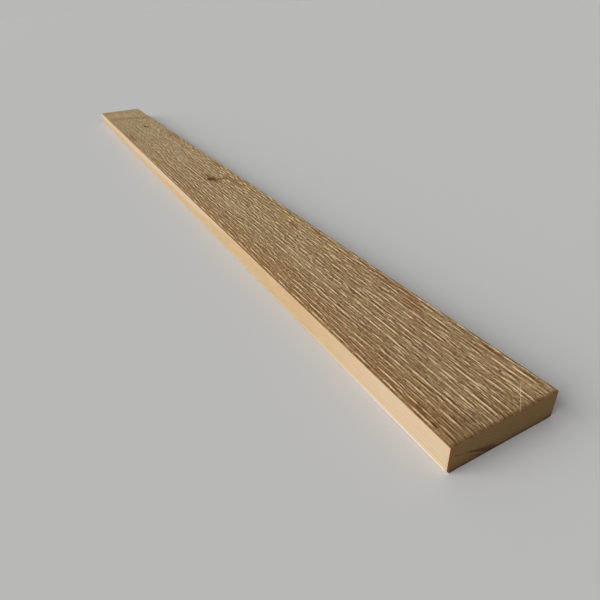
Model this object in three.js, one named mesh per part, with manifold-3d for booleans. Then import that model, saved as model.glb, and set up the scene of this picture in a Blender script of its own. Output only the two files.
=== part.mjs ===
// A one-metre softwood board, sawn and machined from one piece: planed on the underside and on
// both long edges, textured on the upper face, and cross-cut square at both ends.
//
// Units are millimetres and +Z is up. The board lies flat with its length along X and its
// textured face up. The origin is the middle of the underside.

import * as THREE from "three";
import { mergeVertices } from "three/addons/utils/BufferGeometryUtils.js";
import Module from "manifold-3d";

// Overall size of the board.
const boardLength = 1000;
const boardWidth = 73;
const boardThickness = 19;

// Radii of the four eased long edges. The planer takes more off the edges of the underside.
const undersideEdgeRadius = 1.5;
const faceEdgeRadius = 0.7;
const edgeArcSegments = 4;

// Knots in the upper face. The hard knot has dried and fallen back, which leaves a hollow.
// fromEnd is measured from the +X end and acrossWidth from the middle of the face towards +Y.
const largeKnot = {
  fromEnd: 447,
  acrossWidth: 6,
  hollowLength: 15,
  hollowWidth: 10,
  hollowDepth: 1.6,
  turn: THREE.MathUtils.degToRad(8),
};
const smallKnot = {
  fromEnd: 806,
  acrossWidth: 8,
  hollowLength: 10,
  hollowWidth: 5.5,
  hollowDepth: 1.1,
  turn: THREE.MathUtils.degToRad(-8),
};

// Splinter knocked off the lower corner where the +X end meets the -Y edge.
const cornerChip = { alongLength: 3.2, alongWidth: 1.6, alongHeight: 2.4 };

const wasm = await Module();
wasm.setup();

function toSolid(geometry) {
  const bare = geometry.clone();
  bare.deleteAttribute("normal");
  bare.deleteAttribute("uv");
  const merged = mergeVertices(bare, 1e-5);
  return new wasm.Manifold(
    new wasm.Mesh({
      numProp: 3,
      vertProperties: Float32Array.from(merged.attributes.position.array),
      triVerts: Uint32Array.from(merged.index.array),
    }),
  );
}

function toGeometry(solid) {
  const mesh = solid.getMesh();
  const geometry = new THREE.BufferGeometry();
  geometry.setAttribute("position", new THREE.BufferAttribute(mesh.vertProperties, 3));
  geometry.setIndex(new THREE.BufferAttribute(mesh.triVerts, 1));
  geometry.computeVertexNormals();
  return geometry;
}

// The section across the board, drawn with the width across the page and the thickness up it.
function boardSection() {
  const side = boardWidth / 2;
  const low = undersideEdgeRadius;
  const high = faceEdgeRadius;
  const top = boardThickness;
  const section = new THREE.Shape();
  section.moveTo(-side + low, 0);
  section.lineTo(side - low, 0);
  section.absarc(side - low, low, low, -Math.PI / 2, 0);
  section.lineTo(side, top - high);
  section.absarc(side - high, top - high, high, 0, Math.PI / 2);
  section.lineTo(-side + high, top);
  section.absarc(-side + high, top - high, high, Math.PI / 2, Math.PI);
  section.lineTo(-side, low);
  section.absarc(-side + low, low, low, Math.PI, 1.5 * Math.PI);
  return section;
}

function blankBoard() {
  const blank = new THREE.ExtrudeGeometry(boardSection(), {
    depth: boardLength,
    bevelEnabled: false,
    curveSegments: edgeArcSegments,
  });
  blank.translate(0, 0, -boardLength / 2);
  // The page's across, up and out become Y, Z and X.
  blank.applyMatrix4(
    new THREE.Matrix4().makeBasis(
      new THREE.Vector3(0, 1, 0),
      new THREE.Vector3(0, 0, 1),
      new THREE.Vector3(1, 0, 0),
    ),
  );
  return toSolid(blank);
}

// A shallow oval bowl whose rim lies in the upper face.
function knotHollow(knot) {
  const bowl = new THREE.SphereGeometry(1, 20, 12);
  bowl.scale(knot.hollowLength / 2, knot.hollowWidth / 2, knot.hollowDepth);
  bowl.rotateZ(knot.turn);
  bowl.translate(boardLength / 2 - knot.fromEnd, knot.acrossWidth, boardThickness);
  return toSolid(bowl);
}

// An octahedron centred on the corner. One of its faces cuts the board along a slant that meets
// each of the three edges there at the chip's reach along it.
function chippedCorner(chip) {
  const wedge = new THREE.OctahedronGeometry(1);
  wedge.scale(chip.alongLength, chip.alongWidth, chip.alongHeight);
  wedge.translate(boardLength / 2, -boardWidth / 2, 0);
  return toSolid(wedge);
}

function board() {
  let solid = blankBoard();
  for (const knot of [largeKnot, smallKnot]) {
    solid = solid.subtract(knotHollow(knot));
  }
  solid = solid.subtract(chippedCorner(cornerChip));
  return toGeometry(solid);
}

const pine = new THREE.MeshStandardMaterial({ color: "#b89a6c", roughness: 0.75, metalness: 0 });

const plank = new THREE.Mesh(board(), pine);
plank.name = "plank";

const model = new THREE.Group();
model.name = "timber_plank";
model.add(plank);

export default model;
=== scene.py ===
"""A softwood board with a machine-textured face, and the plain studio that it lies in.

Lengths are metres. The board lies flat with its length along X, its textured face up and its
underside at z = 0. Fine patterns are worked out in millimetres.
"""

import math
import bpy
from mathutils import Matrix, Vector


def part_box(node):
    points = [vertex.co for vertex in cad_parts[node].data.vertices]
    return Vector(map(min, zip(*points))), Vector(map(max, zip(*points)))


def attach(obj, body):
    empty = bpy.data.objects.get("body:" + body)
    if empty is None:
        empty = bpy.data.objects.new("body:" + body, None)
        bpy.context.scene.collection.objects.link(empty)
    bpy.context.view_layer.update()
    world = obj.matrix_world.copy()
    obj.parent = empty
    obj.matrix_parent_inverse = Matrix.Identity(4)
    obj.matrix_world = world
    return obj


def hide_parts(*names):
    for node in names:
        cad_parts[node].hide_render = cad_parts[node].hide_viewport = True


bl_info = {
    "name": "Textured Timber Board",
    "version": (1, 0, 0),
    "blender": (4, 5, 0),
    "location": "View3D > Sidebar > Timber",
    "description": "Makes a softwood board with a machine-textured face, and a studio for it",
    "category": "Add Mesh",
}

import bmesh
import bpy
import numpy as np
from bpy.props import FloatProperty, FloatVectorProperty, IntProperty, PointerProperty
from mathutils import Matrix, Vector, noise

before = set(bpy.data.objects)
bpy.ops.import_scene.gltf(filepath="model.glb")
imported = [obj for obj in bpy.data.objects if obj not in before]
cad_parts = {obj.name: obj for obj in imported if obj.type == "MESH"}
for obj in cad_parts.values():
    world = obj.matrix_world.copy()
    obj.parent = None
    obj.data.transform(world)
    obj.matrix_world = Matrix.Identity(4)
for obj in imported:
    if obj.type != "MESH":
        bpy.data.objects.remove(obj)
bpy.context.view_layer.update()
BOARD_LOW, BOARD_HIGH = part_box("plank")

MM = 0.001
LENGTH = BOARD_HIGH.x - BOARD_LOW.x
WIDTH = BOARD_HIGH.y - BOARD_LOW.y
THICKNESS = BOARD_HIGH.z - BOARD_LOW.z
FAR_X, NEAR_X = BOARD_LOW.x, BOARD_HIGH.x
LEFT_Y, RIGHT_Y = BOARD_LOW.y, BOARD_HIGH.y
FACE_Z = BOARD_HIGH.z

# Two places nearer than this are the same.
TOUCH = 5e-6

# Hard knots that have dried and fallen back, as in the part's solid.
LARGE_KNOT = {
    "place": (NEAR_X - 447 * MM, 6 * MM),
    "length": 15 * MM,
    "width": 10 * MM,
    "depth": 1.6 * MM,
    "turn": math.radians(8),
}
SMALL_KNOT = {
    "place": (NEAR_X - 806 * MM, 8 * MM),
    "length": 10 * MM,
    "width": 5.5 * MM,
    "depth": 1.1 * MM,
    "turn": math.radians(-8),
}
KNOTS = (LARGE_KNOT, SMALL_KNOT)

# Splinter knocked off the lower corner of the near end, with its reach along X, Y and Z.
CORNER_CHIP = Vector((3.2, 1.6, 2.4)) * MM

# Blots on the textured face: place from the near end and across, half sizes along and across,
# all in millimetres, turn in degrees, the tint it takes and how strong it is.
BLOTS = (
    ((26, 23.3), (1.3, 1.0), 0, "pitch", 0.95),
    ((14.8, -33.0), (2.6, 1.3), 0, "pitch", 0.60),
    ((27.5, -31.4), (3.5, 1.4), 0, "pitch", 0.55),
    ((7.3, -15.3), (2.2, 1.2), 0, "pitch", 0.50),
    ((12.8, -22.6), (3.5, 1.6), 0, "pitch", 0.45),
    ((4, -22), (15, 17), 0, "pitch", 0.22),
    ((36, 33.8), (3.5, 1.4), 0, "russet", 0.80),
    ((45, 33.3), (3.5, 1.4), 0, "russet", 0.80),
    ((20, -31), (22, 6), 0, "russet", 0.20),
    ((88, 20), (12, 7), -35, "russet", 0.38),
    ((104, 27), (14, 6), -10, "russet", 0.50),
    ((135, 33), (45, 5), 0, "russet", 0.40),
    ((195, -6), (55, 7), 0, "pale", 0.25),
    ((238, 33), (20, 4), 0, "russet", 0.45),
    ((270, 22), (14, 4), 0, "russet", 0.60),
    ((291, -11.7), (4.5, 1.1), 0, "pitch", 0.45),
    ((339, 7.3), (5.5, 1.2), 0, "pitch", 0.50),
    ((345, -6), (55, 7), 0, "pale", 0.28),
    ((422, 25), (34, 6), 0, "russet", 0.45),
    ((433, 7), (9, 5), 20, "russet", 0.60),
    ((441, 9), (8, 3.5), 36, "pitch", 0.55),
    ((440, 16), (8, 4), 74, "russet", 0.75),
    ((464, 6), (13, 5), 0, "russet", 0.50),
    ((480, -25.8), (7.5, 1.3), 0, "pitch", 0.60),
    ((502, 33), (25, 4), 0, "russet", 0.50),
    ((520, 5), (2.8, 1.6), 0, "pitch", 0.55),
    ((705, 31), (65, 6), 0, "russet", 0.45),
    ((706, -29.6), (9, 2.0), 0, "pitch", 0.45),
    ((735, -30), (34, 8), 0, "russet", 0.55),
    ((801, 12), (7, 3.2), 0, "russet", 0.85),
    ((818, 9), (5, 2.2), 0, "pitch", 0.70),
    ((894, 14), (38, 13), 57, "russet", 0.45),
    ((914, -20), (20, 10), 57, "russet", 0.25),
    ((945, -12), (32, 34), 0, "pale", 0.20),
)

# A thin pale scratch near the end: its middle, half sizes and turn, as above.
SCRATCH = ((6.6, 16.4), (14.5, 0.32), -49.3)

# The sets of marks that the texturing head leaves: ridges, finer lines, short hairs and thin
# cuts. Each is given by its number, length, width and height as shares of the ridges' own.
RIDGE_SETS = (
    (0.8, 0.95, 1.0, 1.0),
    (2.0, 0.5, 0.82, 0.95),
    (6.0, 0.4, 0.6, 0.28),
    (4.0, 0.9, 0.6, -0.38),
)

# How much deeper the head cut in the middle of the board than at its ends, and how much higher
# it left the ridges there, as shares.
MIDDLE_DEPTH = 0.3
MIDDLE_HEIGHT = 0.05

# The cut never reaches deeper than this.
DEEPEST = 2 * MM

# Extra divisions close to the ends, where the splinters are, by their distance from the end,
# and how many columns of faces the plain underside has.
END_DIVISIONS = (0.4 * MM, 1.1 * MM, 2.1 * MM)
UNDERSIDE_COLUMNS = 2

# Dark streaks of resinous wood on the ends: middle across and up, half sizes along and through
# the streak, all in millimetres, turn in degrees, and strength.
END_STREAKS = (
    ((-11.0, 3.6), (10.5, 2.6), -19, 0.55),
    ((-20.5, 7.1), (7.5, 0.9), -22, 0.85),
    ((-14.0, 4.2), (8.0, 1.4), -20, 0.8),
    ((-8.5, 2.2), (7.0, 2.0), -12, 0.85),
    ((-17.5, 2.5), (7.5, 0.5), -20, 0.7),
    ((-29.5, 9.6), (6.0, 0.5), -24, 0.6),
)

# Tints of the wood, and of the painted shade, highlight and sheen on it, as they are seen on
# screen, beside those in the settings.
TINTS = {
    "pitch": (0.30, 0.20, 0.12),
    "russet": (0.50, 0.33, 0.17),
    "pale": (0.80, 0.70, 0.53),
    # Painted sheen, paler and greyer, for the face away from the near end.
    "middle sheen": (0.705, 0.595, 0.428),
    "grazing sheen": (0.70, 0.645, 0.485),
    "warm": (0.665, 0.475, 0.255),
    "dusky": (0.54, 0.42, 0.27),
    "brown patch": (0.53, 0.37, 0.20),
    "golden": (0.645, 0.51, 0.25),
    "gash": (0.34, 0.24, 0.14),
    "speck": (0.40, 0.28, 0.14),
    "shade": (0.40, 0.28, 0.13),
    # Painted shade for the grooves close to the near end.
    "knot halo": (0.46, 0.30, 0.16),
    "knot heart": (0.36, 0.235, 0.11),
    "near end": (0.50, 0.41, 0.28),
    "end arris": (0.40, 0.28, 0.16),
    # Painted shade along the right arris of the face.
    "right edge shade": (0.42, 0.36, 0.25),
    "planed golden": (0.730, 0.612, 0.445),
    "planed blush": (0.80, 0.66, 0.52),
    "planed straw": (0.765, 0.695, 0.51),
    "planed fibre": (0.66, 0.50, 0.34),
    # Painted highlight along the foot of the planed sides.
    "planed foot highlight": (0.90, 0.83, 0.74),
    "pore": (0.42, 0.31, 0.19),
    "end russet": (0.56, 0.40, 0.21),
    "end olive": (0.47, 0.41, 0.22),
    "end low": (0.40, 0.29, 0.17),
    # Painted shade along the foot of the ends.
    "end foot shade": (0.27, 0.20, 0.11),
    "end burnish": (0.62, 0.37, 0.17),
}

# The growth rings are circles about the pith, which lay outside the board. Their usual spacing
# and how far they wander are in millimetres too.
PITH_Y_MM = 52.0
PITH_Z_MM = 196.0
RING_SPACING_MM = 1.8
RING_WANDER_MM = 1.2

# The map for baked pictures: its size and the gap between its rows, in pixels, and how many
# pixels each kind of row gives a millimetre across the grain. Each kind but the ends has a row
# for the near half of the board and one for the far half.
MAP_NAME = "OFBake"
MAP_SIZE = 1024
MAP_GAP = 7
MAP_SCALES = {"face": 3.3, "left": 3.0, "right": 3.0, "underside": 1.0, "ends": 3.0}

# How far the sides' rows of that map reach round each long edge, in millimetres.
MAP_WRAP = 1.5

# Faces that meet at more than this angle are shaded with a sharp edge between them.
SHARP_ANGLE = math.radians(50)

# Slots of the board's materials, in order.
TEXTURED, PLANED, END_GRAIN = range(3)


# ---------------------------------------------------------------- settings


class TimberBoardSettings(bpy.types.PropertyGroup):
    """Sizes of the board's edges and of the marks that the texturing head leaves."""

    underside_radius: FloatProperty(
        name="Underside edge radius",
        description="Rounding of the two long edges of the underside",
        default=1.5 * MM,
        min=0.2 * MM,
        unit="LENGTH",
    )
    face_radius: FloatProperty(
        name="Face edge radius",
        description="Rounding of the two long edges of the textured face",
        default=0.7 * MM,
        min=0.2 * MM,
        unit="LENGTH",
    )
    stations: IntProperty(
        name="Divisions along",
        description="Divisions of the board along its length",
        default=295,
        min=20,
        max=400,
    )
    face_columns: IntProperty(
        name="Divisions across the face",
        description="Divisions of the textured face across its width",
        default=300,
        min=20,
        max=310,
    )
    feed_per_turn: FloatProperty(
        name="Feed per turn",
        description="How far the board moves in one turn of the texturing head",
        default=25.7 * MM,
        unit="LENGTH",
    )
    ridges: IntProperty(
        name="Ridges",
        description="Ridges that the head's teeth leave standing in one turn",
        default=26,
        min=4,
    )
    ridge_height: FloatProperty(
        name="Ridge height",
        description="Usual height of a ridge",
        default=0.67 * MM,
        unit="LENGTH",
    )
    ridge_width: FloatProperty(
        name="Ridge width",
        description="Half the width of a ridge, from its crest to its foot",
        default=0.42 * MM,
        unit="LENGTH",
    )
    ridge_length: FloatProperty(
        name="Ridge length",
        description="Usual length of a ridge",
        default=25 * MM,
        unit="LENGTH",
    )
    cut_depth: FloatProperty(
        name="Cut depth",
        description="Depth of the plain wood between the ridges, towards the board's ends",
        default=0.62 * MM,
        unit="LENGTH",
    )
    seed: IntProperty(
        name="Seed",
        description="Picks the places and sizes of the ridges",
        default=7,
    )


class TimberColourSettings(bpy.types.PropertyGroup):
    """Colours of the wood, and the painted shade of its grooves."""

    face_crest: FloatVectorProperty(
        name="Crest",
        description="Pale torn fibres on the crests of the textured face",
        subtype="COLOR_GAMMA",
        size=3,
        default=(0.84, 0.765, 0.64),
        min=0,
        max=1,
    )
    face_body: FloatVectorProperty(
        name="Face",
        description="Weathered wood between the ridges of the textured face",
        subtype="COLOR_GAMMA",
        size=3,
        default=(0.678, 0.558, 0.393),
        min=0,
        max=1,
    )
    # Painted shade: a dark colour for the bottoms of the grooves beside the ridges.
    face_groove_shade: FloatVectorProperty(
        name="Groove",
        description="Bottoms of the grooves beside the ridges",
        subtype="COLOR_GAMMA",
        size=3,
        default=(0.46, 0.32, 0.13),
        min=0,
        max=1,
    )
    planed_early: FloatVectorProperty(
        name="Planed earlywood",
        description="Pale wood between the growth lines on the planed faces",
        subtype="COLOR_GAMMA",
        size=3,
        default=(0.795, 0.715, 0.60),
        min=0,
        max=1,
    )
    planed_late: FloatVectorProperty(
        name="Planed latewood",
        description="Growth lines on the planed faces",
        subtype="COLOR_GAMMA",
        size=3,
        default=(0.71, 0.59, 0.44),
        min=0,
        max=1,
    )
    end_wood: FloatVectorProperty(
        name="End grain",
        description="Sawn wood of the ends",
        subtype="COLOR_GAMMA",
        size=3,
        default=(0.535, 0.43, 0.27),
        min=0,
        max=1,
    )
    end_streak: FloatVectorProperty(
        name="End streak",
        description="Dark streak of resinous wood on the ends",
        subtype="COLOR_GAMMA",
        size=3,
        default=(0.33, 0.22, 0.155),
        min=0,
        max=1,
    )


class TimberStudioSettings(bpy.types.PropertyGroup):
    """The floor and the light."""

    floor_colour: FloatVectorProperty(
        name="Floor",
        description="Colour of the floor",
        subtype="COLOR_GAMMA",
        size=3,
        default=(0.79, 0.79, 0.785),
        min=0,
        max=1,
    )
    backdrop_colour: FloatVectorProperty(
        name="Backdrop",
        description="Colour of what shows beyond the floor",
        subtype="COLOR_GAMMA",
        size=3,
        default=(0.722, 0.722, 0.717),
        min=0,
        max=1,
    )
    floor_reach: FloatProperty(
        name="Floor reach",
        description="How far the floor goes from the board each way",
        default=200.0,
        unit="LENGTH",
    )
    key_strength: FloatProperty(
        name="Key strength",
        description="Strength of the key light, where 1 shows a surface square to it as painted",
        default=1.06,
    )
    key_width: FloatProperty(
        name="Key width",
        description="How wide the key light looks from the board",
        default=math.radians(60),
        subtype="ANGLE",
    )
    key_rise: FloatProperty(
        name="Key rise",
        description="Height of the key light above the horizon",
        default=math.radians(27),
        subtype="ANGLE",
    )
    key_turn: FloatProperty(
        name="Key turn",
        description="How far the key light is turned from the left side towards the far end",
        default=math.radians(8),
        subtype="ANGLE",
    )
    surround: FloatProperty(
        name="Surround",
        description="Strength of the even light from all round",
        default=0.33,
    )


# ---------------------------------------------------------------- node helpers


def linear(colour):
    """A colour as it is seen on screen, turned into the linear values that shaders take."""
    parts = [c / 12.92 if c <= 0.04045 else ((c + 0.055) / 1.055) ** 2.4 for c in colour]
    return (*parts, 1.0)


class Graph:
    """Short calls for making and linking the nodes of one material."""

    def __init__(self, name):
        self.material = bpy.data.materials.new(name)
        self.material.use_nodes = True
        self.tree = self.material.node_tree
        self.shader = self.tree.nodes["Principled BSDF"]
        coordinates = self.tree.nodes.new("ShaderNodeTexCoord")
        self.mm = self.vector("SCALE", coordinates.outputs["Object"], scale=1 / MM)
        split = self.tree.nodes.new("ShaderNodeSeparateXYZ")
        self.tree.links.new(self.mm, split.inputs[0])
        self.x, self.y, self.z = split.outputs

    def feed(self, socket, value):
        if isinstance(value, bpy.types.NodeSocket):
            self.tree.links.new(value, socket)
        elif value is not None:
            socket.default_value = value

    def math(self, operation, a, b=None, c=None):
        node = self.tree.nodes.new("ShaderNodeMath")
        node.operation = operation
        for socket, value in zip(node.inputs, (a, b, c)):
            self.feed(socket, value)
        return node.outputs[0]

    def vector(self, operation, a, scale=None):
        node = self.tree.nodes.new("ShaderNodeVectorMath")
        node.operation = operation
        self.feed(node.inputs[0], a)
        if scale is not None:
            self.feed(node.inputs["Scale"], scale)
        return node.outputs["Value" if operation == "LENGTH" else "Vector"]

    def stretched(self, cell, centre, turn=(0, 0, 0)):
        """Millimetre coordinates about a centre, divided by the size of a pattern's cell."""
        node = self.tree.nodes.new("ShaderNodeMapping")
        node.vector_type = "TEXTURE"
        node.inputs["Location"].default_value = centre
        node.inputs["Rotation"].default_value = turn
        node.inputs["Scale"].default_value = cell
        self.tree.links.new(self.mm, node.inputs["Vector"])
        return node.outputs[0]

    def noise(self, cell, detail, roughness=0.5, centre=(0, 0, 0)):
        """Noise from 0 to 1 whose blots are about as large as the cell, in millimetres."""
        node = self.tree.nodes.new("ShaderNodeTexNoise")
        node.inputs["Scale"].default_value = 1.0
        node.inputs["Detail"].default_value = detail
        node.inputs["Roughness"].default_value = roughness
        self.tree.links.new(self.stretched(cell, centre), node.inputs["Vector"])
        return node.outputs["Fac"]

    def ramp(self, value, low, high, out_low=0.0, out_high=1.0, smooth=True):
        """From one number to another as the value goes from low to high, and level beyond."""
        node = self.tree.nodes.new("ShaderNodeMapRange")
        node.interpolation_type = "SMOOTHSTEP" if smooth else "LINEAR"
        for name, number in zip(
            ("From Min", "From Max", "To Min", "To Max"), (low, high, out_low, out_high)
        ):
            node.inputs[name].default_value = number
        self.feed(node.inputs["Value"], value)
        return node.outputs[0]

    def along(self, start, end, out_start=0.0, out_end=1.0, smooth=True):
        """The same as ramp, between two distances from the near end, in millimetres."""
        near = NEAR_X / MM
        return self.ramp(self.x, near - start, near - end, out_start, out_end, smooth)

    def mix(self, factor, a, b):
        node = self.tree.nodes.new("ShaderNodeMix")
        node.data_type = "RGBA"
        self.feed(node.inputs[0], factor)
        self.feed(node.inputs[6], a)
        self.feed(node.inputs[7], b)
        return node.outputs[2]

    def tint(self, colour, share, name):
        """The colour with a share of one of the named tints mixed in."""
        return self.mix(share, colour, linear(TINTS[name]))

    def attribute(self, name):
        node = self.tree.nodes.new("ShaderNodeAttribute")
        node.attribute_name = name
        return node.outputs["Fac"]

    def bump(self, height, distance):
        node = self.tree.nodes.new("ShaderNodeBump")
        node.inputs["Strength"].default_value = 1.0
        node.inputs["Distance"].default_value = distance
        self.feed(node.inputs["Height"], height)
        return node.outputs[0]

    def spot(self, centre, half_sizes, turn, ragged, grain=(3.0, 1.2, 3.0)):
        """1 in the middle of a blot and 0 outside it, with a ragged edge. All in millimetres."""
        distance = self.vector("LENGTH", self.stretched(half_sizes, centre, turn))
        wobble = self.math("MULTIPLY_ADD", self.noise(grain, 2), 2 * ragged, -ragged)
        return self.ramp(self.math("ADD", distance, wobble), 1.0, 0.45)

    def use(self, colour, roughness, normal, specular):
        """Feeds the shader and hands over the finished material."""
        self.feed(self.shader.inputs["Base Color"], colour)
        self.feed(self.shader.inputs["Roughness"], roughness)
        self.feed(self.shader.inputs["Normal"], normal)
        self.shader.inputs["Specular IOR Level"].default_value = specular
        return self.material


# ---------------------------------------------------------------- wood


def rings(graph):
    """Latewood of the growth rings, from 0 in the earlywood to 1 at each ring's dark edge."""
    from_pith_y = graph.math("SUBTRACT", graph.y, PITH_Y_MM)
    from_pith_z = graph.math("SUBTRACT", graph.z, PITH_Z_MM)
    squares = graph.math(
        "ADD",
        graph.math("MULTIPLY", from_pith_y, from_pith_y),
        graph.math("MULTIPLY", from_pith_z, from_pith_z),
    )
    radius = graph.math("SQRT", squares)
    slow = graph.noise((170.0, 40.0, 40.0), 2.0)
    radius = graph.math("ADD", radius, graph.math("MULTIPLY", slow, 2 * RING_WANDER_MM))
    for knot in KNOTS:
        x, y = (c / MM for c in knot["place"])
        reach = knot["length"] / MM
        away = graph.vector(
            "LENGTH", graph.stretched((2.2 * reach, reach, 200.0), (x, y, 0))
        )
        bulge = graph.ramp(away, 1.0, 0.0, 0.0, 3.0 * RING_SPACING_MM)
        radius = graph.math("ADD", radius, bulge)
    uneven = graph.math("MULTIPLY", graph.math("SINE", graph.math("MULTIPLY", radius, 0.37)), 0.35)
    count = graph.math("ADD", graph.math("DIVIDE", radius, RING_SPACING_MM), uneven)
    part = graph.math("FRACT", count)
    rising = graph.ramp(part, 0.35, 0.92)
    falling = graph.ramp(part, 1.0, 0.94)
    return graph.math("MULTIPLY", rising, falling)


def knot_mask(graph, knot, grow):
    """1 over a knot whose sizes are multiplied by grow, and 0 away from it."""
    x, y = (c / MM for c in knot["place"])
    halves = (knot["length"] / MM / 2 * grow, knot["width"] / MM / 2 * grow, 60.0)
    return graph.spot((x, y, 0), halves, (0, 0, knot["turn"]), 0.5)


def face_spot(graph, place, halves, turn, ragged, *grain):
    """A spot on the textured face, placed from the near end and turned in degrees."""
    from_end, across = place
    centre = (NEAR_X / MM - from_end, across, FACE_Z / MM)
    return graph.spot(centre, (*halves, 20.0), (0, 0, math.radians(turn)), ragged, *grain)


def face_ground(graph, relief, colours):
    """Wood with grooves in painted shade, growing paler and greyer away from the near end as a
    painted sheen of the face seen at a grazing angle.
    """
    body = linear(colours.face_body)
    # Painted sheen: the face is painted paler and greyer away from the near end, where the view
    # grazes it.
    body = graph.tint(body, graph.along(120, 280), "middle sheen")
    body = graph.tint(body, graph.along(200, 800, 0.0, 0.7, False), "grazing sheen")
    # Painted shade: the lowest parts of the relief turn to the dark groove colour.
    return graph.mix(graph.ramp(relief, 0.28, 0.52), linear(colours.face_groove_shade), body)


def face_tones(graph, colour):
    """Broad tones over the textured face: warm on the left, golden on the right, and patches."""
    warm = graph.math(
        "MULTIPLY",
        graph.ramp(graph.y, LEFT_Y / MM + 24, LEFT_Y / MM + 1, 0.0, 1.0, False),
        graph.along(600, 350, 0.2, 0.6),
    )
    colour = graph.tint(colour, warm, "warm")
    tone = graph.noise((70.0, 5.0, 20.0), 3.0, 0.6)
    colour = graph.tint(colour, graph.ramp(tone, 0.3, 0.7, 0.0, 0.24), "dusky")
    patches = graph.ramp(graph.noise((24.0, 8.0, 20.0), 3.0, 0.6, (40, 9, 0)), 0.50, 0.72)
    colour = graph.tint(colour, graph.math("MULTIPLY", patches, 0.24), "brown patch")
    golden = graph.math(
        "MULTIPLY",
        graph.ramp(graph.y, RIGHT_Y / MM - 18, RIGHT_Y / MM - 7),
        graph.ramp(graph.noise((16.0, 3.5, 20.0), 3.0, 0.7, (11, 3, 0)), 0.42, 0.62),
    )
    golden = graph.math("MULTIPLY", golden, graph.along(120, 320))
    return graph.tint(colour, graph.math("MULTIPLY", golden, 0.55), "golden")


def face_grain(graph, colour, crest):
    """Fine gashes, pale fibres and specks: the colour with them, and their height for a bump."""
    gash = graph.ramp(graph.noise((4.0, 0.55, 2.0), 3.0, 0.6), 0.44, 0.30)
    colour = graph.tint(colour, graph.math("MULTIPLY", gash, 0.65), "gash")
    fibre = graph.noise((3.0, 0.36, 1.0), 2.0, 0.65)
    colour = graph.mix(graph.ramp(fibre, 0.54, 0.72, 0.0, 0.65), colour, crest)
    specks = graph.noise((1.7, 0.9, 1.2), 2.0, 0.7)
    colour = graph.tint(colour, graph.ramp(specks, 0.53, 0.66, 0.0, 0.60), "speck")
    colour = graph.mix(graph.ramp(specks, 0.46, 0.34, 0.0, 0.30), colour, crest)
    height = graph.math("ADD", fibre, graph.math("MULTIPLY", gash, -0.7))
    return colour, graph.math("MULTIPLY_ADD", specks, -0.5, height)


def face_levels(graph, colour, relief, crest):
    """Painted shade in the lows and painted highlights on the highs close to the near end, and torn
    pale crests all along.
    """
    near = graph.along(250, 140)
    # Painted shade: the lows of the relief close to the near end are painted darker.
    painted_groove_shade = graph.math("MULTIPLY", graph.ramp(relief, 0.50, 0.30, 0.0, 0.21), near)
    colour = graph.tint(colour, painted_groove_shade, "shade")
    # Painted highlight: the highs of the relief close to the near end are painted towards the pale
    # crest colour.
    high = graph.math("MULTIPLY", graph.ramp(relief, 0.56, 0.75, 0.0, 0.18), near)
    colour = graph.mix(high, colour, crest)
    torn = graph.ramp(graph.noise((2.6, 0.9, 2.0), 3.0), 0.34, 0.58, 0.25, 1.0)
    return graph.mix(graph.math("MULTIPLY", graph.ramp(relief, 0.66, 0.95), torn), colour, crest)


def face_marks(graph, colour):
    """The blots, and the knots with a stained halo."""
    for place, halves, turn, tint, strength in BLOTS:
        blot = face_spot(graph, place, halves, turn, 0.5, (4.0, 0.9, 3.0))
        colour = graph.tint(colour, graph.math("MULTIPLY", blot, strength), tint)
    for knot in KNOTS:
        halo = graph.math("MULTIPLY", knot_mask(graph, knot, 2.1), 0.45)
        colour = graph.tint(colour, halo, "knot halo")
        heart = graph.math("MULTIPLY", knot_mask(graph, knot, 1.3), 0.75)
        colour = graph.tint(colour, heart, "knot heart")
    return colour


def face_edges(graph, colour):
    """Darker at the near end, and painted shade along the right edge, which faces away from the key
    light.
    """
    past_end = graph.math("SUBTRACT", graph.x, NEAR_X / MM)
    ragged = graph.math("ADD", graph.noise((3.0, 2.0, 2.0), 2.0), past_end)
    colour = graph.tint(colour, graph.ramp(ragged, -11.0, -1.5, 0.0, 0.35), "near end")
    colour = graph.tint(colour, graph.ramp(ragged, -1.6, 0.1, 0.0, 0.65), "end arris")
    # Painted shade along the right arris, on the side away from the key light.
    rim = graph.ramp(graph.y, RIGHT_Y / MM - 1.4, RIGHT_Y / MM - 0.3, 0.0, 0.6)
    return graph.tint(colour, rim, "right edge shade")


def textured_wood(colours):
    """Weathered, toothed wood: pale torn crests, dark grooves, blots, knots and a scratch."""
    graph = Graph("textured_face")
    relief = graph.attribute("relief")
    crest = linear(colours.face_crest)
    colour = face_tones(graph, face_ground(graph, relief, colours))
    colour, height = face_grain(graph, colour, crest)
    colour = face_levels(graph, colour, relief, crest)
    colour = face_edges(graph, face_marks(graph, colour))
    scratch = face_spot(graph, *SCRATCH, 0.1)
    colour = graph.mix(graph.math("MULTIPLY", scratch, 0.75), colour, crest)
    return graph.use(colour, 0.8, graph.bump(height, 0.40 * MM), 0.12)


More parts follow.
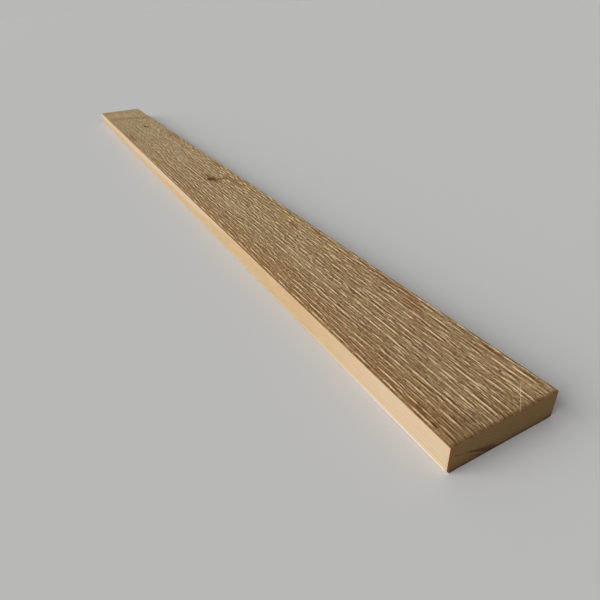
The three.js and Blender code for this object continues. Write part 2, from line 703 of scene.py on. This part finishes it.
def planed_wood(colours):
    """Planed softwood: pale with growth lines, golden away from the near end, and a painted
    highlight along the foot.
    """
    graph = Graph("planed_faces")
    late = rings(graph)
    colour = graph.mix(
        graph.math("MULTIPLY", late, 0.8), linear(colours.planed_early), linear(colours.planed_late)
    )
    wander = graph.math("MULTIPLY_ADD", graph.noise((150.0, 60.0, 60.0), 2.0), 8.0, -4.0)
    upper_limit = graph.along(180, 420, 18.5, 9.5)
    below = graph.math("SUBTRACT", graph.math("ADD", upper_limit, wander), graph.z)
    golden = graph.math("MULTIPLY", graph.ramp(below, -2.0, 2.0), graph.along(30, 160, 0.0, 0.9))
    colour = graph.tint(colour, golden, "planed golden")
    blush = graph.noise((22.0, 5.0, 3.0), 3.0, 0.6, (7, 0, 0))
    colour = graph.tint(colour, graph.ramp(blush, 0.50, 0.66, 0.0, 0.6), "planed blush")
    colour = graph.tint(colour, graph.ramp(blush, 0.48, 0.32, 0.0, 0.6), "planed straw")
    fibre = graph.noise((16.0, 0.5, 0.32), 3.0, 0.6)
    colour = graph.tint(colour, graph.ramp(fibre, 0.35, 0.7, 0.0, 0.14, False), "planed fibre")
    # Painted highlight: a pale strip along the rounded foot of the sides, strongest near the near
    # end.
    low = graph.math(
        "MULTIPLY",
        graph.ramp(graph.z, 3.2, 1.2, 0.0, 0.9),
        graph.along(160, 20, 0.25, 1.0),
    )
    colour = graph.tint(colour, low, "planed foot highlight")
    normal = graph.bump(graph.math("ADD", fibre, graph.math("MULTIPLY", late, 0.3)), 0.02 * MM)
    return graph.use(colour, 0.62, normal, 0.35)


def end_grain_wood(colours):
    """Sawn end grain: dull brown, dark below with painted shade along its foot, with a resinous
    streak and a burnished left arris.
    """
    graph = Graph("end_grain")
    streak = linear(colours.end_streak)
    colour = graph.mix(graph.math("MULTIPLY", rings(graph), 0.22), linear(colours.end_wood), streak)
    pores = graph.noise((1.0, 0.5, 0.3), 3.0, 0.65)
    colour = graph.tint(colour, graph.ramp(pores, 0.35, 0.75, 0.0, 0.25, False), "pore")
    mottle = graph.noise((20.0, 9.0, 5.0), 3.0)
    colour = graph.tint(colour, graph.ramp(mottle, 0.48, 0.70, 0.0, 0.5), "end russet")
    colour = graph.tint(colour, graph.ramp(mottle, 0.48, 0.30, 0.0, 0.5), "end olive")
    lower = graph.math(
        "MULTIPLY",
        graph.ramp(graph.z, 9.0, 0.5),
        graph.ramp(graph.y, -18, -4, 0.55, 0.35),
    )
    colour = graph.tint(colour, lower, "end low")
    for (y, z), halves, turn, strength in END_STREAKS:
        centre = (NEAR_X / MM, y, z)
        turned = (math.radians(turn), 0, 0)
        spot = graph.spot(centre, (40.0, *halves), turned, 0.6, (9.0, 3.0, 0.45))
        colour = graph.mix(graph.math("MULTIPLY", spot, strength), colour, streak)
    # Painted shade: the foot of the end, next to the floor, is darkened with a ragged edge.
    wobble = graph.math("MULTIPLY", graph.noise((3.0, 3.0, 2.0), 2.0), 2.4)
    foot = graph.ramp(graph.math("ADD", graph.z, wobble), 3.7, 1.5, 0.0, 0.8)
    colour = graph.tint(colour, foot, "end foot shade")
    wobble = graph.math("MULTIPLY", graph.noise((2.0, 2.0, 2.5), 2.0), 1.4)
    from_left = graph.math("ADD", graph.y, wobble)
    arris = graph.ramp(from_left, LEFT_Y / MM + 2.9, LEFT_Y / MM + 1.5, 0.0, 0.9)
    colour = graph.tint(colour, arris, "end burnish")
    return graph.use(colour, 0.85, graph.bump(pores, 0.06 * MM), 0.2)


# ---------------------------------------------------------------- board


def ridge_set(x, y, settings, draw, many, long, wide, high):
    """Height that one set of ridges adds over points x, y, or takes away for a set of cuts.

    The teeth of the texturing head leave the ridges standing once a turn, so their places
    repeat along the board. How well a ridge stands is up to the wood and differs from turn to
    turn, and so does its place a little, more so away from the near end. A ridge has a narrow
    crest with a wider, shallow groove on either side, and both ends run out. The last four
    values are shares of the settings.
    """
    turn = settings.feed_per_turn
    turns = int(LENGTH / turn) + 3
    count = int(many * settings.ridges)
    total = np.zeros_like(x)
    for ridge in range(count):
        middle = draw.uniform(0, 1) * turn
        across = LEFT_Y + (ridge + 0.5 + draw.uniform(-0.25, 0.25)) * WIDTH / count
        slope = draw.uniform(-0.025, 0.025)
        reach = long * settings.ridge_length * draw.uniform(0.65, 1.35) / 2
        half_width = wide * settings.ridge_width * draw.uniform(0.75, 1.3)
        top = high * settings.ridge_height * draw.uniform(0.65, 1.25)
        stands = draw.uniform(0.4, 1.35, turns)
        steps = draw.uniform(-1.0, 1.0, turns) * MM
        from_start = x - FAR_X - middle + turn
        which = np.floor(from_start / turn + 0.5).astype(int)
        ahead = from_start - which * turn
        aside = y - across - slope * ahead - steps[which] * (0.4 - 0.25 * nearness(x))
        away = np.abs(aside / (half_width * (1 - 0.15 * nearness(x))))
        crest = 1.35 * np.exp(-(away**1.5))
        groove = 0.35 * np.exp(-((away / 2.6) ** 2) / 2)
        ends = np.clip(1 - (ahead / reach) ** 2, 0, 1) ** 0.8
        total += top * stands[which] * ends * (crest - groove)
    return total


def tool_marks(x, y, settings):
    """Height of the textured face over points x, y, from 0 in the plain wood between ridges."""
    draw = np.random.RandomState(settings.seed)
    return sum(ridge_set(x, y, settings, draw, *shares) for shares in RIDGE_SETS)


def noise_at(x, y, cell_x, cell_y, pick):
    """Noise from -1 to 1 over points x, y, in cells of the given sizes. Pick chooses a pattern."""
    places = zip(x / cell_x, y / cell_y)
    return np.array([noise.noise(Vector((*place, pick))) for place in places])


def knot_bowl(x, y, knot):
    """Depth below the face of a fallen knot's hollow over points x, y."""
    cosine, sine = math.cos(knot["turn"]), math.sin(knot["turn"])
    from_x, from_y = x - knot["place"][0], y - knot["place"][1]
    lengthways = from_x * cosine + from_y * sine
    sideways = -from_x * sine + from_y * cosine
    away = (2 * lengthways / knot["length"]) ** 2 + (2 * sideways / knot["width"]) ** 2
    return knot["depth"] * np.sqrt(np.clip(1 - away, 0, 1))


def rise(x, start, end):
    """From 0 at one distance from the near end to 1 at another, and level beyond them."""
    return np.clip((NEAR_X - x - start) / (end - start), 0, 1)


def nearness(x):
    """1 close to the near end, where the ridges run truest, and 0 beyond the middle."""
    return rise(x, 500 * MM, 100 * MM)


def heaviness(x):
    """1 in the middle of the board, where the head cut deepest, and 0 at its ends."""
    return rise(x, 100 * MM, 400 * MM) * rise(x, 980 * MM, 580 * MM)


def cut_depth_at(x, settings):
    """Depth of the plain wood between the ridges at x."""
    return settings.cut_depth * (1 + MIDDLE_DEPTH * heaviness(x))


def from_nearest_end(x):
    """Distance of points x from the board's nearest end."""
    return np.minimum(x - FAR_X, NEAR_X - x)


def worn_edges(x, y):
    """From 1 in the field of the textured face to 0 at its arrises, where the ridges run out."""
    fading = (2.4 + 2.0 * noise_at(x, y, 20 * MM, 2.5 * MM, 9.2)) * MM
    at_ends = np.clip((from_nearest_end(x) - 0.3 * MM) / np.maximum(fading, 0.8 * MM), 0, 1)
    at_sides = np.clip((WIDTH / 2 - np.abs(y)) / (0.9 * MM), 0, 1)
    return at_ends * at_sides


def splintered_ends(x, y):
    """Depth of the wood that splintered off the face along its ends, over points x, y."""
    splintered = 0.3 + np.clip(noise_at(x, y, 20 * MM, 2.2 * MM, 6.1), -0.3, 1)
    return 0.8 * MM * splintered * np.exp(-from_nearest_end(x) / (0.8 * MM))


def broken_edge(x, y):
    """Depth of the wood that broke off the face along its right edge, over points x, y."""
    broken = np.clip(noise_at(x, y, 11 * MM, 30 * MM, 4.4), 0, 1)
    return 0.9 * MM * broken * np.exp(-(RIGHT_Y - y) / (1.3 * MM))


def face_heights(x, y, settings):
    """Height of the textured face over points x, y: 0 at the board's full thickness, or less."""
    drift = 0.3 * MM * noise_at(x, y, 90 * MM, 14 * MM, 3.1)
    drift += 0.2 * MM * nearness(x) * noise_at(x, y, 24 * MM, 6 * MM, 8.6)
    strength = 1.0 + 0.15 * noise_at(x, y, 30 * MM, 9 * MM, 5.3)
    strength += MIDDLE_HEIGHT * heaviness(x)
    height = strength * worn_edges(x, y) * tool_marks(x, y + drift, settings)
    height += 0.10 * MM * noise_at(x, y, 22 * MM, 4 * MM, 7.7)
    height += 0.07 * MM * noise_at(x, y, 5 * MM, 0.9 * MM, 1.9)
    height -= splintered_ends(x, y)
    height -= broken_edge(x, y)
    height -= cut_depth_at(x, settings)
    for knot in KNOTS:
        height = np.minimum(height, -knot_bowl(x, y, knot))
    return np.clip(height, -DEEPEST, 0.0)


def lengthwise(edge):
    """True for an edge along most of the board."""
    start, end = (v.co for v in edge.verts)
    return abs(start.x - end.x) > 0.5 * LENGTH


def crosswise_at(edge, z):
    """True for an edge straight across the board at height z."""
    start, end = (v.co for v in edge.verts)
    at_height = abs(start.z - z) < TOUCH and abs(end.z - z) < TOUCH
    return at_height and abs(start.x - end.x) < TOUCH


def cut_by_plane(bm, faces, place, normal, clear_outer=False):
    """Cuts the faces along a plane and, where asked, clears what lies on its outer side."""
    verts = dict.fromkeys(v for f in faces for v in f.verts)
    edges = dict.fromkeys(e for f in faces for e in f.edges)
    return bmesh.ops.bisect_plane(
        bm,
        geom=[*verts, *edges, *faces],
        dist=1e-7,
        plane_co=place,
        plane_no=normal,
        clear_outer=clear_outer,
    )


def ease_edges(bm, z, radius):
    """Rounds the two long edges at height z."""
    edges = [e for e in bm.edges if lengthwise(e) and abs(e.verts[0].co.z - z) < TOUCH]
    bmesh.ops.bevel(
        bm,
        geom=edges,
        offset=radius,
        offset_type="OFFSET",
        affect="EDGES",
        segments=3,
        profile=0.5,
        material=-1,
    )


def divide(bm, edges, parts):
    """Divides each of the edges, and the faces between them, into equal parts."""
    bmesh.ops.subdivide_edges(bm, edges=edges, cuts=parts - 1)


def blank_board(settings):
    """The board with its eased edges, divided finely on its textured face."""
    bm = bmesh.new()
    bmesh.ops.create_cube(bm, size=1.0)
    bmesh.ops.scale(bm, vec=(LENGTH, WIDTH, THICKNESS), verts=bm.verts)
    bmesh.ops.translate(bm, vec=(BOARD_LOW + BOARD_HIGH) / 2, verts=bm.verts)
    ease_edges(bm, BOARD_LOW.z, settings.underside_radius)
    ease_edges(bm, FACE_Z, settings.face_radius)
    divide(bm, [e for e in bm.edges if lengthwise(e)], settings.stations)
    divide(bm, [e for e in bm.edges if crosswise_at(e, FACE_Z)], settings.face_columns)
    divide(bm, [e for e in bm.edges if crosswise_at(e, BOARD_LOW.z)], UNDERSIDE_COLUMNS)
    for distance in END_DIVISIONS:
        for x in (FAR_X + distance, NEAR_X - distance):
            near = [f for f in bm.faces if abs(f.calc_center_median().x - x) < 5 * MM]
            cut_by_plane(bm, near, (x, 0, 0), (1, 0, 0))
    return bm


def texture_face(bm, settings):
    """Sinks the face's vertices to the cut surface and keeps each one's level for the shader."""
    level = bm.verts.layers.float.new("relief")
    low_rim = FACE_Z - settings.face_radius
    verts = [v for v in bm.verts if v.co.z > low_rim + TOUCH]
    x = np.array([v.co.x for v in verts])
    y = np.array([v.co.y for v in verts])
    heights = face_heights(x, y, settings)
    levels = 0.5 + (heights + cut_depth_at(x, settings)) / (2 * settings.cut_depth)
    for vert, height, relief in zip(verts, heights, levels):
        share = (vert.co.z - low_rim) / settings.face_radius
        vert.co.z += height * share
        vert[level] = relief


def chip_corner(bm):
    """Cuts the splinter off the lower left corner of the near end and closes the cut."""
    corner = Vector((NEAR_X, LEFT_Y, BOARD_LOW.z))
    normal = Vector((1 / CORNER_CHIP.x, -1 / CORNER_CHIP.y, -1 / CORNER_CHIP.z)).normalized()
    on_plane = corner - Vector((CORNER_CHIP.x, 0, 0))
    near = [f for f in bm.faces if (f.calc_center_median() - corner).length < 60 * MM]
    cut = cut_by_plane(bm, near, on_plane, normal, clear_outer=True)
    rim = [e for e in cut["geom_cut"] if isinstance(e, bmesh.types.BMEdge)]
    bmesh.ops.contextual_create(bm, geom=rim)


def face_kinds(bm):
    """Gives each face its material: textured above, end grain at the ends, planed elsewhere."""
    for face in bm.faces:
        at_top = face.calc_center_median().z > FACE_Z - 3 * MM
        if abs(face.normal.x) > 0.7:
            face.material_index = END_GRAIN
        elif at_top and face.normal.z > 0.35:
            face.material_index = TEXTURED
        else:
            face.material_index = PLANED
        face.smooth = True


def map_kind(face):
    """Which kind of row of the baking map a face goes in."""
    if face.material_index == END_GRAIN:
        return "ends"
    if face.material_index == TEXTURED:
        return "face"
    if face.normal.z < -0.8:
        return "underside"
    return "left" if face.normal.y < 0 else "right"


def map_across(kind, place):
    """How far up its row of the baking map a place on the board goes, in millimetres."""
    if kind in {"face", "underside"}:
        return (place.y - LEFT_Y) / MM
    if kind == "ends":
        return place.z / MM
    inwards = WIDTH / 2 - abs(place.y)
    over = inwards if place.z > THICKNESS / 2 else -inwards
    return (place.z + over) / MM + MAP_WRAP


def map_for_baking(bm):
    """Lays the board out in rows, with fine lines given most pixels across the grain."""
    heights = {
        "face": WIDTH / MM,
        "left": THICKNESS / MM + 2 * MAP_WRAP,
        "right": THICKNESS / MM + 2 * MAP_WRAP,
        "underside": WIDTH / MM,
        "ends": THICKNESS / MM,
    }
    starts = {}
    top = MAP_GAP
    for kind, scale in MAP_SCALES.items():
        for half in range(1 if kind == "ends" else 2):
            starts[kind, half] = top
            top += heights[kind] * scale + MAP_GAP
    per_metre = (MAP_SIZE - 2 * MAP_GAP) / (LENGTH / 2)
    layer = bm.loops.layers.uv.new(MAP_NAME)
    for face in bm.faces:
        kind = map_kind(face)
        scale = MAP_SCALES[kind]
        far = face.calc_center_median().x < 0
        start = starts[kind, 0 if kind == "ends" else int(far)]
        for loop in face.loops:
            place = loop.vert.co
            if kind == "ends":
                beside = (WIDTH / MM * scale + 2 * MAP_GAP) if far else 0
                u = MAP_GAP + beside + (place.y - LEFT_Y) / MM * scale
            else:
                u = MAP_GAP + (place.x - (FAR_X if far else 0.0)) * per_metre
            v = start + map_across(kind, place) * scale
            loop[layer].uv = (u / MAP_SIZE, v / MAP_SIZE)


class TIMBER_OT_board(bpy.types.Operator):
    """Make the board, with its textured face, eased edges, knots and chipped corner"""

    bl_idname = "timber.board"
    bl_label = "Board"

    def execute(self, context):
        settings = context.scene.timber_board
        colours = context.scene.timber_colours
        bm = blank_board(settings)
        texture_face(bm, settings)
        chip_corner(bm)
        bmesh.ops.recalc_face_normals(bm, faces=bm.faces)
        face_kinds(bm)
        map_for_baking(bm)
        mesh = bpy.data.meshes.new("board")
        bm.to_mesh(mesh)
        bm.free()
        mesh.set_sharp_from_angle(angle=SHARP_ANGLE)
        board = bpy.data.objects.new("board", mesh)
        context.scene.collection.objects.link(board)
        for make in (textured_wood, planed_wood, end_grain_wood):
            mesh.materials.append(make(colours))
        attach(board, "root")
        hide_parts("plank")
        return {"FINISHED"}


# ---------------------------------------------------------------- studio


def add_camera(scene):
    """The camera stands low beyond the near end and looks along the board."""
    focal_px, picture_px = 478.1, 600
    sensor = 36.0
    yaw, pitch, roll = (math.radians(a) for a in (26.574, 32.021, -3.241))
    place = Vector((0.6021, -0.1597, 0.1939))
    ahead = Vector(
        (
            -math.cos(yaw) * math.cos(pitch),
            math.sin(yaw) * math.cos(pitch),
            -math.sin(pitch),
        )
    )
    right = ahead.cross(Vector((0, 0, 1))).normalized()
    above = right.cross(ahead)
    tilt = Matrix.Rotation(roll, 3, -ahead)
    right, above = tilt @ right, tilt @ above
    data = bpy.data.cameras.new("camera")
    data.sensor_width = sensor
    data.lens = focal_px / picture_px * sensor
    data.clip_start = 0.01
    camera = bpy.data.objects.new("camera", data)
    turned = Matrix((right, above, -ahead)).transposed()
    camera.matrix_world = Matrix.Translation(place) @ turned.to_4x4()
    scene.collection.objects.link(camera)
    scene.camera = camera


def add_floor(scene, settings):
    """A plain floor that reaches as far as the camera sees."""
    bm = bmesh.new()
    bmesh.ops.create_grid(bm, x_segments=1, y_segments=1, size=settings.floor_reach)
    mesh = bpy.data.meshes.new("floor")
    bm.to_mesh(mesh)
    bm.free()
    floor = bpy.data.objects.new("floor", mesh)
    scene.collection.objects.link(floor)
    material = bpy.data.materials.new("floor_paint")
    material.use_nodes = True
    shader = material.node_tree.nodes["Principled BSDF"]
    shader.inputs["Base Color"].default_value = linear(settings.floor_colour)
    shader.inputs["Roughness"].default_value = 0.8
    shader.inputs["Specular IOR Level"].default_value = 0.1
    mesh.materials.append(material)


def add_key(scene, settings):
    """A wide soft light from the board's left side, and a little from its far end."""
    data = bpy.data.lights.new("key", "SUN")
    data.energy = settings.key_strength * math.pi
    data.angle = settings.key_width
    key = bpy.data.objects.new("key", data)
    towards_lamp = Vector(
        (
            -math.sin(settings.key_turn) * math.cos(settings.key_rise),
            -math.cos(settings.key_turn) * math.cos(settings.key_rise),
            math.sin(settings.key_rise),
        )
    )
    key.rotation_euler = towards_lamp.to_track_quat("Z", "Y").to_euler()
    scene.collection.objects.link(key)


def add_world(scene, settings):
    """Even light from all round, seen as a backdrop of the floor's own brightness."""
    world = bpy.data.worlds.new("surround")
    world.use_nodes = True
    tree = world.node_tree
    light = tree.nodes["Background"]
    light.inputs["Color"].default_value = (1, 1, 1, 1)
    light.inputs["Strength"].default_value = settings.surround
    backdrop = tree.nodes.new("ShaderNodeBackground")
    backdrop.inputs["Color"].default_value = linear(settings.backdrop_colour)
    path = tree.nodes.new("ShaderNodeLightPath")
    seen = path.outputs["Is Camera Ray"]
    for other in ("Is Glossy Ray", "Is Transmission Ray"):
        either = tree.nodes.new("ShaderNodeMath")
        either.operation = "MAXIMUM"
        tree.links.new(seen, either.inputs[0])
        tree.links.new(path.outputs[other], either.inputs[1])
        seen = either.outputs[0]
    choose = tree.nodes.new("ShaderNodeMixShader")
    tree.links.new(seen, choose.inputs[0])
    tree.links.new(light.outputs[0], choose.inputs[1])
    tree.links.new(backdrop.outputs[0], choose.inputs[2])
    tree.links.new(choose.outputs[0], tree.nodes["World Output"].inputs["Surface"])
    scene.world = world


class TIMBER_OT_studio(bpy.types.Operator):
    """Make the pale floor, the soft light and the camera"""

    bl_idname = "timber.studio"
    bl_label = "Studio"

    def execute(self, context):
        scene = context.scene
        settings = scene.timber_studio
        add_camera(scene)
        add_floor(scene, settings)
        add_key(scene, settings)
        add_world(scene, settings)
        scene.view_settings.view_transform = "Standard"
        return {"FINISHED"}


class TIMBER_PT_panel(bpy.types.Panel):
    """Lists the board's settings and what can be made from them"""

    bl_idname = "TIMBER_PT_panel"
    bl_label = "Timber Board"
    bl_space_type = "VIEW_3D"
    bl_region_type = "UI"
    bl_category = "Timber"

    def draw(self, context):
        for name in ("timber_board", "timber_colours", "timber_studio"):
            settings = getattr(context.scene, name)
            column = self.layout.column(align=True)
            for prop in settings.bl_rna.properties:
                if prop.identifier not in {"rna_type", "name"}:
                    column.prop(settings, prop.identifier)
        for operator in (TIMBER_OT_board, TIMBER_OT_studio):
            self.layout.operator(operator.bl_idname)


GROUPS = {
    "timber_board": TimberBoardSettings,
    "timber_colours": TimberColourSettings,
    "timber_studio": TimberStudioSettings,
}
CLASSES = (*GROUPS.values(), TIMBER_OT_board, TIMBER_OT_studio, TIMBER_PT_panel)


def register():
    for cls in CLASSES:
        bpy.utils.register_class(cls)
    for name, group in GROUPS.items():
        setattr(bpy.types.Scene, name, PointerProperty(type=group))


def unregister():
    for name in GROUPS:
        delattr(bpy.types.Scene, name)
    for cls in reversed(CLASSES):
        bpy.utils.unregister_class(cls)


def main():
    register()
    bpy.ops.timber.board()
    bpy.ops.timber.studio()


if __name__ == "__main__":
    main()
